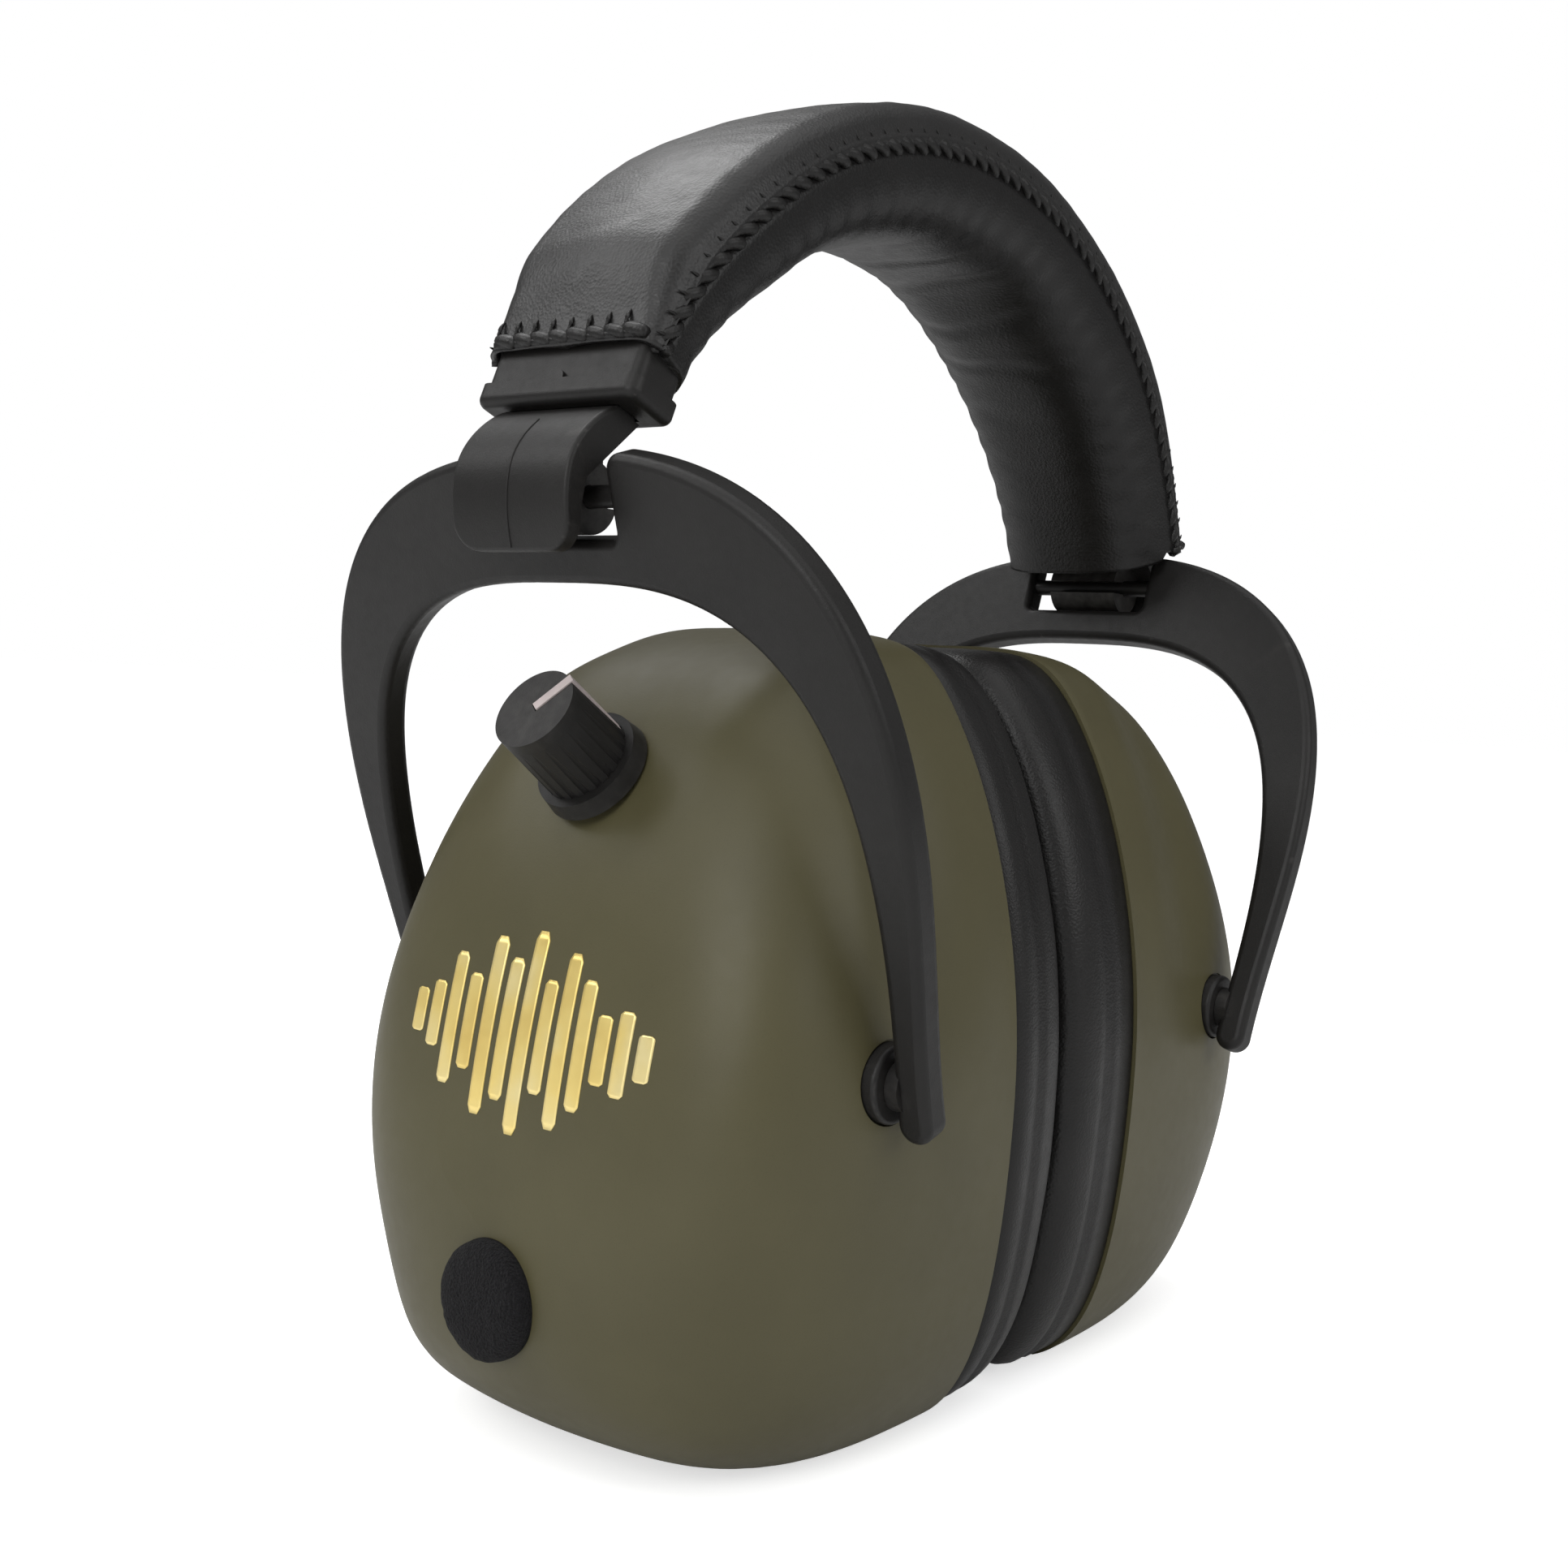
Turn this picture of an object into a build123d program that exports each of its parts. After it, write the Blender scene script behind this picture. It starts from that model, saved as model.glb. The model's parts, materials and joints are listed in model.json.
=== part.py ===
from build123d import *
import os
from math import cos, exp, hypot, pi, radians, sin

# Electronic earmuff: two deep cups with leather cushions, hung in yokes from a padded
# headband. Millimetres. The origin is on the floor midway between the cups, X runs from
# the left cup to the right cup, Y from front to back, and Z up. Every side piece is
# modelled for the right cup and mirrored for the left.

# ---- driving dimensions ----
rim_x = 18.3            # plane of each cup's mouth
cup_height = 117.6
cup_half_width = 44.1
cup_depth = 62.5        # mouth to face, measured at the floor
face_slope = 0.125      # the face leans in towards the top
cup_middle_z = 40.0     # height of the face's crown
wall = 2.6
pivot_x = 48.4          # yoke pins
pivot_z = 58.0
spot_face_y = 42.3      # seats of the pivot bushings
bushing_r = 5.4
bushing_high = 2.2
pin_r = 2.0
pin_fit = 0.05
yoke_lean = 18.0        # degrees outwards, going up
yoke_thick = 5.0
bar_s = 77.6            # height of the hook bar above the pins, along the yoke
bar_r = 1.5
notch_half = 12.5
notch_floor_s = 72.3
arch_z = 114.3          # centre of the headband's arc
arch_r = 78.0           # seam line of the headband
cover_crown = 7.4
cover_edge = 3.8        # height of the cover over its side seams
pad_depth = 13.0
band_half = 18.0
cover_left_deg = 60.0   # where the sleeve ends, from the top of the arc
cover_right_deg = 68.0
spring_deg = 50.5
sleeve_lean = 21.0      # degrees inwards, going up the slider housings
sleeve_x = 69.8         # middle of each housing's lower end
sleeve_z = 142.8
housing_half = 14.2
housing_half_thick = 4.0
housing_high = 20.0
lip_high = 3.2
lip_out = 0.6
blade_half = 10.4
blade_half_thick = 2.0
blade_high = 18.5
lobe_half = 10.8
lobe_corner = 4.0
gap = 0.3
cushion_front_x = 0.9
cushion_inset = 0.4
cushion_ring = 20.5
knob_x = 61.3
knob_z = 95.5
knob_tilt = 34.0        # degrees above level
mic_z = 25.0

os.makedirs("parts", exist_ok=True)


def save(piece, name):
    """Label one finished piece and write it."""
    piece.label = name
    export_step(piece, "parts/" + name + ".step")


def save_pair(piece, name):
    """Write the right-hand piece and its mirror image on the left."""
    save(mirror(piece, about=Plane.YZ), name + "_left")
    save(piece, name + "_right")


# ---- outline of the cup's mouth ----
def side_width(z):
    """Half-width of the D-shaped outline before its corners are rounded."""
    taper = 0.0044 if z > 50.0 else 0.0022
    return cup_half_width - taper * (z - 52.0) ** 2


def rim_reach(angle):
    """Distance from the face's crown to the outline, at an angle from +Y."""
    low = 0.0
    high = 120.0
    while high - low > 1e-4:
        middle = (low + high) / 2
        y = middle * cos(angle)
        z = cup_middle_z + middle * sin(angle)
        corner = 7.0 if z > 58.0 else 6.0
        half = max(side_width(z), 1.0)
        rise = abs(z - 58.0) / (cup_height - 58.0 if z > 58.0 else 60.0)
        if (abs(y) / half) ** corner + rise ** corner > 1.0:
            high = middle
        else:
            low = middle
    return low


outline_angles = [2 * pi * k / 44 for k in range(44)]
outline_reach = [rim_reach(angle) for angle in outline_angles]


def rim_points(inset):
    """Points of the outline, moved inwards by inset."""
    points = []
    for angle, reach in zip(outline_angles, outline_reach):
        points.append(((reach - inset) * cos(angle), cup_middle_z + (reach - inset) * sin(angle)))
    return points


def roundness(angle):
    """How square the cup's shoulder is: squarest at its upper corners, rounder above and below."""
    rise = sin(angle)
    across = cos(angle) ** 2
    return 3.0 - 0.15 * rise + 1.15 * across + 2.2 * rise * across


def shrink(angle, depth):
    """Size of a section against the outline, at a depth from 0 at the mouth to 1."""
    q = roundness(angle)
    return (1 - max(depth, 0.0) ** q) ** (1 / q)


def valley(y, z, x):
    """Depth of the shallow valley that runs down each side behind the flange."""
    along = exp(-((x - 39.5) / 7.5) ** 2)
    across = 1 / (1 + exp(-(z - 66.0) / 6.0)) / (1 + exp((z - 112.0) / 4.0))
    side = min(abs(y) / 20.0, 1.0)
    return 2.4 * along * across * side


section_depths = [0.0, 0.12, 0.22, 0.32, 0.43, 0.55, 0.68, 0.79, 0.88, 0.945, 0.98, 0.995, 0.999]


def section_plane(depth, inset):
    """Plane of one section: upright at the mouth, leaning with the face at the far end."""
    lean = face_slope * depth
    return Plane(
        origin=(rim_x + depth * (cup_depth - inset), 0, 0), x_dir=(0, 1, 0), z_dir=(1, 0, lean)
    )


def section_points(depth, inset):
    """Points of one section in its own plane."""
    stretch = hypot(1.0, face_slope * depth)
    points = []
    for angle, reach in zip(outline_angles, outline_reach):
        size = (reach - inset) * shrink(angle, depth)
        y = size * cos(angle)
        z = cup_middle_z + size * sin(angle)
        x = rim_x + depth * (cup_depth - face_slope * z)
        cut = valley(y, z, x) / max(reach, 1.0)
        y *= 1 - cut
        z = cup_middle_z + (z - cup_middle_z) * (1 - cut)
        points.append((y, z * stretch))
    return points


def cup_body(inset, first_depth):
    """Solid inside one cup surface, from its mouth to its face."""
    with BuildPart() as body:
        for depth in [first_depth] + section_depths[1:]:
            with BuildSketch(section_plane(depth, inset)):
                with BuildLine():
                    Spline(*section_points(depth, inset), periodic=True)
                make_face()
        loft()
        split(bisect_by=Plane.XY.offset(inset), keep=Keep.TOP)
    return body.part


def upright(x):
    """Upright plane across the ear-to-ear axis, with local x along Y and local y up."""
    return Plane(origin=(x, 0, 0), x_dir=(0, 1, 0), z_dir=(1, 0, 0))


knob_dir = Vector(cos(radians(knob_tilt)), 0, sin(radians(knob_tilt)))
knob_up = Vector(-sin(radians(knob_tilt)), 0, cos(radians(knob_tilt)))
knob_spot = Vector(knob_x, 0, knob_z)


def knob_plane(along, turn=0.0):
    """Plane square to the knob's axis, at a distance out, its local y turned towards the front."""
    across = Vector(0, 1, 0) * cos(radians(turn)) + knob_up * sin(radians(turn))
    return Plane(origin=knob_spot + knob_dir * along, x_dir=across, z_dir=knob_dir)


boss_spots = [(-34.2, 22.0), (34.2, 22.0), (-30.6, 94.0), (30.6, 94.0)]
post_spots = [(-15.0, 66.0), (15.0, 66.0)]
boss_face_x = 21.5
board_x = 50.0
post_length = 19.0
face_x = rim_x + cup_depth - face_slope * mic_z     # face at the microphone
inner_cup = cup_body(wall, -0.02)

# ---- cup shell ----
with BuildPart() as cup_shell:
    add(cup_body(0.0, 0.0))
    add(inner_cup, mode=Mode.SUBTRACT)
    # bosses for the backplate screws, and posts for the circuit board
    with BuildSketch(upright(boss_face_x)):
        with Locations(*boss_spots):
            Circle(3.2)
    extrude(amount=13.0)
    with BuildSketch(upright(board_x + 1.7)):
        with Locations(*post_spots):
            Circle(2.6)
    extrude(amount=post_length)
    with BuildSketch(upright(boss_face_x - 1.0)):
        with Locations(*boss_spots):
            Circle(1.2)
    extrude(amount=12.0, mode=Mode.SUBTRACT)
    with BuildSketch(upright(board_x)):
        with Locations(*post_spots):
            Circle(1.0)
    extrude(amount=10.0, mode=Mode.SUBTRACT)
    # flat seats and holes for the pivot bushings
    for way in (-1, 1):
        seat = Plane(origin=(pivot_x, way * spot_face_y, pivot_z), x_dir=(1, 0, 0), z_dir=(0, way, 0))
        with BuildSketch(seat):
            Circle(bushing_r + 0.3)
        extrude(amount=10.0, mode=Mode.SUBTRACT)
        with BuildSketch(seat):
            Circle(3.5)
        extrude(amount=-6.0, mode=Mode.SUBTRACT)
    # seat and hole for the volume control
    with BuildSketch(knob_plane(-0.6)):
        Circle(6.6)
    extrude(amount=10.0, mode=Mode.SUBTRACT)
    with BuildSketch(knob_plane(-8.0)):
        Circle(3.5)
    extrude(amount=10.0, mode=Mode.SUBTRACT)
    # pocket for the windscreen and hole for the microphone
    with BuildSketch(Plane(origin=(face_x - 1.4, 0, mic_z), x_dir=(0, 1, 0), z_dir=(1, 0, 0))):
        Circle(8.2)
    extrude(amount=8.0, mode=Mode.SUBTRACT)
    with BuildSketch(Plane(origin=(face_x - 8.0, 0, mic_z), x_dir=(0, 1, 0), z_dir=(1, 0, 0))):
        Circle(4.9)
    extrude(amount=10.0, mode=Mode.SUBTRACT)
save_pair(cup_shell.part, "cup_shell")

# ---- backplate inside the mouth ----
with BuildPart() as backplate:
    with BuildSketch(upright(rim_x + 0.1)):
        with BuildLine():
            Spline(*rim_points(wall + 0.4), periodic=True)
        make_face()
        with Locations((0, wall + 0.4 - cup_height)):
            Rectangle(2 * cup_height, 2 * cup_height, mode=Mode.SUBTRACT)
    extrude(amount=boss_face_x - rim_x - 0.1)
    with BuildSketch(upright(rim_x)):
        with Locations((0, 57.5)):
            Ellipse(22.0, 36.0)
    extrude(amount=6.0, mode=Mode.SUBTRACT)
    with BuildSketch(upright(rim_x)):
        with Locations(*boss_spots):
            Circle(1.4)
    extrude(amount=6.0, mode=Mode.SUBTRACT)
    with BuildSketch(upright(rim_x)):
        with Locations(*boss_spots):
            Circle(3.0)
    extrude(amount=1.6, mode=Mode.SUBTRACT)
save_pair(backplate.part, "backplate")

with BuildPart() as plate_screws:
    with BuildSketch(upright(rim_x + 0.2)):
        with Locations(*boss_spots):
            Circle(2.5)
    extrude(amount=1.4)
    with BuildSketch(upright(rim_x + 0.2)):
        with Locations(*boss_spots):
            Circle(1.2)
    extrude(amount=10.0)
    with BuildSketch(upright(rim_x + 0.2)):
        with Locations(*boss_spots):
            Rectangle(2.6, 0.6)
            Rectangle(0.6, 2.6)
    extrude(amount=0.8, mode=Mode.SUBTRACT)
save_pair(plate_screws.part, "plate_screws")

# ---- ear cushion ----
cushion_steps = [(rim_x - gap, 0.0), (11.0, 0.0), (6.0, 0.4), (3.0, 2.2), (1.5, 4.4), (cushion_front_x, 7.0)]
with BuildPart() as ear_cushion:
    for step_x, step_in in cushion_steps:
        with BuildSketch(upright(step_x)):
            with BuildLine():
                Spline(*rim_points(cushion_inset + step_in), periodic=True)
            make_face()
    loft()
    split(bisect_by=Plane.XY.offset(cushion_inset), keep=Keep.TOP)
    with BuildSketch(upright(cushion_front_x - 1)):
        with Locations((0, 57.5)):
            Ellipse(cup_half_width - cushion_inset - cushion_ring, 36.5)
    extrude(amount=rim_x + 2, mode=Mode.SUBTRACT)
save_pair(ear_cushion.part, "ear_cushion")

# ---- sound-damping foam and the speaker behind it ----
foam_x = 22.2
speaker_x = 36.2
with BuildPart() as foam_liner:
    with BuildSketch(upright(foam_x)):
        with Locations((0, 57.5)):
            Ellipse(27.0, 41.0)
    extrude(amount=speaker_x - foam_x)
save_pair(foam_liner.part, "foam_liner")

with BuildPart() as speaker:
    with BuildSketch(upright(speaker_x)):
        with Locations((0, 57.5)):
            Circle(17.0)
    extrude(amount=2.2)
    with BuildSketch(upright(speaker_x + 2.2)):
        with Locations((0, 57.5)):
            Circle(14.0)
    extrude(amount=3.6, taper=24)
    with BuildSketch(upright(speaker_x + 5.8)):
        with Locations((0, 57.5)):
            Circle(9.0)
    extrude(amount=4.4)
save_pair(speaker.part, "speaker")

# ---- circuit board, its screws and the battery ----
with BuildPart() as circuit_board:
    with BuildSketch(upright(board_x)):
        with Locations((0, 57.0)):
            RectangleRounded(44.0, 56.0, 3.0)
        with Locations(*post_spots):
            Circle(1.3, mode=Mode.SUBTRACT)
    extrude(amount=1.6)
save_pair(circuit_board.part, "circuit_board")

with BuildPart() as board_screws:
    with BuildSketch(upright(board_x - 1.3)):
        with Locations(*post_spots):
            Circle(2.0)
    extrude(amount=1.3)
    with BuildSketch(upright(board_x - 0.5)):
        with Locations(*post_spots):
            Circle(1.0)
    extrude(amount=7.0)
save_pair(board_screws.part, "board_screws")

battery_z = 44.0
battery_x = board_x + 1.6 + 8.4
with BuildPart() as battery_holder:
    with BuildSketch(Plane(origin=(battery_x, 0, battery_z), x_dir=(1, 0, 0), z_dir=(0, 1, 0))):
        Rectangle(16.6, 15.4)
        Circle(6.3, mode=Mode.SUBTRACT)
        with Locations((8.0, 0)):
            Rectangle(9.0, 9.5, mode=Mode.SUBTRACT)
    extrude(amount=15.6, both=True)
    for way in (-1, 1):
        with BuildSketch(
            Plane(origin=(battery_x, way * 15.6, battery_z), x_dir=(1, 0, 0), z_dir=(0, way, 0))
        ):
            Rectangle(16.6, 15.4)
        extrude(amount=1.6)
save_pair(battery_holder.part, "battery_holder")

with BuildPart() as battery:
    with BuildSketch(Plane(origin=(battery_x, -15.2, battery_z), x_dir=(1, 0, 0), z_dir=(0, 1, 0))):
        Circle(6.0)
    extrude(amount=28.8)
    with BuildSketch(Plane(origin=(battery_x, 13.6, battery_z), x_dir=(1, 0, 0), z_dir=(0, 1, 0))):
        Circle(2.2)
    extrude(amount=1.6)
    fillet(battery.edges().filter_by(GeomType.CIRCLE).sort_by(Axis.Y)[0], radius=0.6)
save_pair(battery.part, "battery")

# ---- volume control: potentiometer, shaft, nut and knob ----
with BuildPart() as potentiometer:
    with BuildSketch(knob_plane(-13.0)):
        Circle(6.4)
    extrude(amount=6.6)
    with BuildSketch(knob_plane(-6.4)):
        Circle(3.45)
    extrude(amount=8.4)
    with BuildSketch(knob_plane(-9.0)):
        Circle(2.05)
    extrude(amount=14.0, mode=Mode.SUBTRACT)
save_pair(potentiometer.part, "potentiometer")

with BuildPart() as pot_nut:
    with BuildSketch(knob_plane(-0.5)):
        RegularPolygon(5.2, 6)
        Circle(3.5, mode=Mode.SUBTRACT)
    extrude(amount=1.9)
save_pair(pot_nut.part, "pot_nut")

shaft_flat = 1.2
with BuildPart() as pot_shaft:
    with BuildSketch(knob_plane(-8.8)):
        Circle(2.0)
    extrude(amount=11.6)
    with BuildSketch(knob_plane(2.8)):
        Circle(2.0)
        with Locations((shaft_flat + 2.0, 0)):
            Rectangle(4.0, 6.0, mode=Mode.SUBTRACT)
    extrude(amount=8.0)
save_pair(pot_shaft.part, "pot_shaft")

knob_foot = 0.5
skirt_high = 2.8
skirt_r = 8.2
grip_r = 6.6
knob_top = 15.2
flutes = 20
slot_wide = 1.5
pointer_wide = 1.4
pointer_turn = 37.0       # degrees from straight up, towards the front
with BuildPart() as knob:
    with BuildSketch(knob_plane(knob_foot)):
        Circle(skirt_r)
    extrude(amount=skirt_high, taper=8)
    with BuildSketch(knob_plane(knob_foot + skirt_high)):
        Circle(grip_r)
    extrude(amount=knob_top - knob_foot - skirt_high, taper=2)
    with BuildSketch(knob_plane(knob_foot + skirt_high)):
        with PolarLocations(grip_r + 0.2, flutes):
            Circle(0.55)
    extrude(amount=knob_top - knob_foot - skirt_high - 1.6, mode=Mode.SUBTRACT)
    with BuildSketch(knob_plane(knob_foot)):
        Circle(5.9)
    extrude(amount=1.6, mode=Mode.SUBTRACT)
    with BuildSketch(knob_plane(knob_foot)):
        Circle(2.02)
    extrude(amount=10.6, mode=Mode.SUBTRACT)
    with BuildSketch(knob_plane(2.9)):
        with Locations((shaft_flat + 1.6, 0)):
            Rectangle(3.2, 4.4)
    extrude(amount=6.0)
    # slot for the pointer, down the side and across the top
    with BuildSketch(knob_plane(knob_foot + skirt_high + 0.5, pointer_turn)):
        with Locations((0, grip_r)):
            Rectangle(slot_wide, 1.8)
    extrude(amount=20.0, mode=Mode.SUBTRACT)
    with BuildSketch(knob_plane(knob_top - 0.5, pointer_turn)):
        with Locations((0, grip_r / 2)):
            Rectangle(slot_wide, grip_r)
    extrude(amount=2.0, mode=Mode.SUBTRACT)
save_pair(knob.part, "knob")

with BuildPart() as knob_pointer:
    with BuildSketch(knob_plane(knob_foot + skirt_high + 0.6, pointer_turn)):
        with Locations((0, grip_r - 0.5)):
            Rectangle(pointer_wide, 0.8)
    extrude(amount=knob_top - knob_foot - skirt_high - 0.4)
    with BuildSketch(knob_plane(knob_top - 0.5, pointer_turn)):
        with Locations((0, grip_r / 2)):
            Rectangle(pointer_wide, grip_r - 0.4)
    extrude(amount=0.7)
save_pair(knob_pointer.part, "knob_pointer")

# ---- microphone behind its foam windscreen ----
with BuildPart() as microphone:
    with BuildSketch(upright(face_x - 6.6)):
        with Locations((0, mic_z)):
            Circle(4.85)
    extrude(amount=5.0)
save_pair(microphone.part, "microphone")

with BuildPart() as windscreen:
    with BuildSketch(upright(face_x - 1.35)):
        with Locations((0, mic_z)):
            Circle(8.15)
    extrude(amount=3.6)
    fillet(windscreen.faces().sort_by(Axis.X)[-1].edges(), radius=1.6)
save_pair(windscreen.part, "windscreen")

# ---- pivot bushings pressed into the cup's sides ----
with BuildPart() as pivot_bushings:
    for way in (-1, 1):
        seat = Plane(origin=(pivot_x, way * spot_face_y, pivot_z), x_dir=(1, 0, 0), z_dir=(0, way, 0))
        with BuildSketch(seat):
            Circle(bushing_r)
        extrude(amount=bushing_high)
        rim_edges = pivot_bushings.edges().filter_by(GeomType.CIRCLE).sort_by(Axis.Y)
        fillet(rim_edges[-1 if way > 0 else 0], radius=0.7)
        with BuildSketch(seat):
            Circle(3.48)
        extrude(amount=-4.0)
        with BuildSketch(seat.offset(bushing_high)):
            Circle(pin_r + pin_fit)
        extrude(amount=-8.0, mode=Mode.SUBTRACT)
save_pair(pivot_bushings.part, "pivot_bushings")

# ---- yoke with its pins and hook bar ----
lean = radians(yoke_lean)
yoke_plane = Plane(
    origin=(pivot_x, 0, pivot_z), x_dir=(0, 1, 0), z_dir=(cos(lean), 0, -sin(lean))
)


def arch_points(half, rise, centre, power, count):
    """Points over one arch of the yoke, from its right flank to its left."""
    points = []
    for k in range(count + 1):
        turn = pi * k / count
        side = 1 if cos(turn) >= 0 else -1
        across = side * half * abs(cos(turn)) ** (2 / power)
        points.append((across, centre + rise * sin(turn) ** (2 / power)))
    return points


tip_s = -7.3
notch_corner = 2.2
outer_foot = (50.2, -4.6)
inner_foot = (45.1, -4.6)
outer_points = [outer_foot, (51.4, 12.0)] + arch_points(52.8, 54.1, 30.0, 2.6, 12)
outer_points += [(-51.4, 12.0), (-50.2, -4.6)]
inner_points = [inner_foot] + arch_points(46.2, 53.2, 13.3, 2.95, 12) + [(-45.1, -4.6)]
bar_spot = yoke_plane.from_local_coords((0, bar_s, 0))
bar_plane = Plane(origin=bar_spot, x_dir=(1, 0, 0), z_dir=(0, 1, 0))


def on_yoke_face(edge):
    """True for an edge that lies in either flat face of the yoke."""
    return abs(abs(yoke_plane.to_local_coords(edge.position_at(0.5)).Z) - yoke_thick / 2) < 0.01


def at_notch_mouth(edge):
    """True for the two edges where the notch opens through the arch's top."""
    middle = yoke_plane.to_local_coords(edge.position_at(0.5))
    return abs(abs(middle.X) - notch_half) < 0.1 and middle.Y > bar_s and abs(middle.Z) < 0.1


with BuildPart() as yoke:
    with BuildSketch(yoke_plane.offset(-yoke_thick / 2)):
        with BuildLine():
            Spline(*outer_points)
            Spline(*inner_points)
            ThreePointArc(outer_foot, (47.7, tip_s), inner_foot)
            ThreePointArc((-50.2, -4.6), (-47.7, tip_s), (-45.1, -4.6))
        make_face()
        with Locations((0, notch_floor_s + 10.0)):
            RectangleRounded(2 * notch_half, 20.0, 1.2, mode=Mode.SUBTRACT)
    extrude(amount=yoke_thick)
    fillet(yoke.edges().filter_by(at_notch_mouth), radius=notch_corner)
    fillet(yoke.edges().filter_by(on_yoke_face), radius=1.3)
    with BuildSketch(bar_plane):
        Circle(bar_r)
    extrude(amount=notch_half + 1.0, both=True)
    for way in (-1, 1):
        shoulder = Plane(origin=(pivot_x, way * spot_face_y, pivot_z), x_dir=(1, 0, 0), z_dir=(0, way, 0))
        with BuildSketch(shoulder.offset(-3.2)):
            Circle(pin_r)
        extrude(amount=8.4)
        with BuildSketch(shoulder.offset(bushing_high + 0.1)):
            Circle(3.4)
        extrude(amount=2.0)
save_pair(yoke.part, "yoke")

# ---- slider: blade in the housing, hook round the yoke's bar ----
sleeve_turn = radians(sleeve_lean)
sleeve_spot = Vector(sleeve_x, 0, sleeve_z)
sleeve_up = Vector(-sin(sleeve_turn), 0, cos(sleeve_turn))
sleeve_out = Vector(cos(sleeve_turn), 0, sin(sleeve_turn))


def sleeve_plane(along):
    """Plane square to the housing, with local x along Y and local y pointing outwards."""
    return Plane(origin=sleeve_spot + sleeve_up * along, x_dir=(0, 1, 0), z_dir=-sleeve_up)


def by_bar(across, up):
    """Point in the side view, measured from the hook bar."""
    return (bar_spot.X + across, bar_spot.Z + up)


side_view = Plane(origin=(0, 0, 0), x_dir=(1, 0, 0), z_dir=(0, -1, 0))
stem_in = sleeve_spot - sleeve_up * 0.5 - sleeve_out * 2.2
stem_out = sleeve_spot - sleeve_up * 0.5 + sleeve_out * 2.8
hook_r = 4.9
hook_half = 7.0
with BuildPart() as lobe:
    with BuildSketch(side_view):
        with BuildLine():
            Spline(
                (stem_out.X, stem_out.Z),
                by_bar(4.9, 8.1),
                by_bar(7.4, 4.2),
                by_bar(8.0, -0.4),
                by_bar(7.5, -4.6),
                by_bar(6.7, -7.6),
            )
            Line(by_bar(6.7, -7.6), by_bar(4.7, -7.6))
            Spline(by_bar(4.7, -7.6), by_bar(5.2, -3.0), by_bar(4.4, 2.0))
            Line(by_bar(4.4, 2.0), (stem_in.X, stem_in.Z))
            Line((stem_in.X, stem_in.Z), (stem_out.X, stem_out.Z))
        make_face()
    extrude(amount=lobe_half, both=True)
    fillet(lobe.edges().filter_by(Axis.X), radius=lobe_corner)
    lobe_front = lobe.faces().filter_by(lambda face: face.center().X > bar_spot.X + 5.5)
    fillet(lobe_front.edges().filter_by(lambda edge: edge.center().X > bar_spot.X + 5.5), radius=0.6)

with BuildPart() as slider:
    with BuildSketch(sleeve_plane(blade_high)):
        RectangleRounded(2 * blade_half, 2 * blade_half_thick, 0.8)
    extrude(amount=blade_high + 2.0)
    add(lobe.part)
    # eye round the bar, open towards the head
    with BuildSketch(Plane(origin=bar_spot, x_dir=(1, 0, 0), z_dir=(0, -1, 0))):
        Circle(hook_r)
        with Locations((1.2, 3.4)):
            Rectangle(6.4, 4.2)
    extrude(amount=hook_half, both=True)
    with BuildSketch(bar_plane):
        Circle(bar_r + pin_fit)
        with Locations((-4.0, 0)):
            Rectangle(8.0, 2.2)
    extrude(amount=14.0, both=True, mode=Mode.SUBTRACT)
save_pair(slider.part, "slider")

# ---- slider housing ----
with BuildPart() as slider_housing:
    with BuildSketch(sleeve_plane(housing_high)):
        RectangleRounded(2 * housing_half, 2 * housing_half_thick, 1.6)
    extrude(amount=housing_high)
    with BuildSketch(sleeve_plane(lip_high)):
        RectangleRounded(2 * (housing_half + lip_out), 2 * (housing_half_thick + lip_out), 1.8)
    extrude(amount=lip_high)
    lower_end = slider_housing.faces().filter_by(Axis((0, 0, 0), tuple(sleeve_up))).sort_by(Axis.Z)[0]
    fillet(lower_end.edges(), radius=1.3)
    # small round nub on the lip
    with BuildSketch(Plane(origin=sleeve_spot + sleeve_up * lip_high, x_dir=(0, 1, 0), z_dir=sleeve_out)):
        Circle(1.3)
    extrude(amount=housing_half_thick + lip_out)
    with BuildSketch(sleeve_plane(housing_high + 1)):
        Rectangle(2 * blade_half + 0.5, 2 * blade_half_thick + 0.4)
    extrude(amount=60.0, mode=Mode.SUBTRACT)
save_pair(slider_housing.part, "slider_housing")

# ---- headband: spring strip, padded cover and pad ----
arch_axis = Axis((0, 0, arch_z), (0, 1, 0))
spring_in = 74.2
spring_out = 75.8
spring_half = 11.0


def band_plane(turn):
    """Plane across the band at an angle from the top, local x along Y and local y outwards."""
    out = Vector(sin(radians(turn)), 0, cos(radians(turn)))
    ahead = Vector(cos(radians(turn)), 0, -sin(radians(turn)))
    return Plane(origin=(0, 0, arch_z), x_dir=(0, 1, 0), z_dir=ahead)


with BuildPart() as band_spring:
    with BuildSketch(band_plane(-spring_deg)):
        with Locations((0, (spring_in + spring_out) / 2)):
            Rectangle(2 * spring_half, spring_out - spring_in)
    revolve(axis=arch_axis, revolution_arc=2 * spring_deg)
save(band_spring.part, "band_spring")


def housing_room(side):
    """Space that one slider housing and its slider need inside the padding."""
    with BuildPart() as room:
        with BuildSketch(sleeve_plane(housing_high + gap)):
            Rectangle(2 * (housing_half + gap), 2 * (housing_half_thick + gap))
        extrude(amount=60.0)
        with BuildSketch(sleeve_plane(lip_high + 1.3 + gap)):
            Rectangle(2 * (housing_half + lip_out + gap), 2 * (housing_half_thick + lip_out + gap))
        extrude(amount=30.0)
    return room.part if side > 0 else mirror(room.part, about=Plane.YZ)


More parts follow.
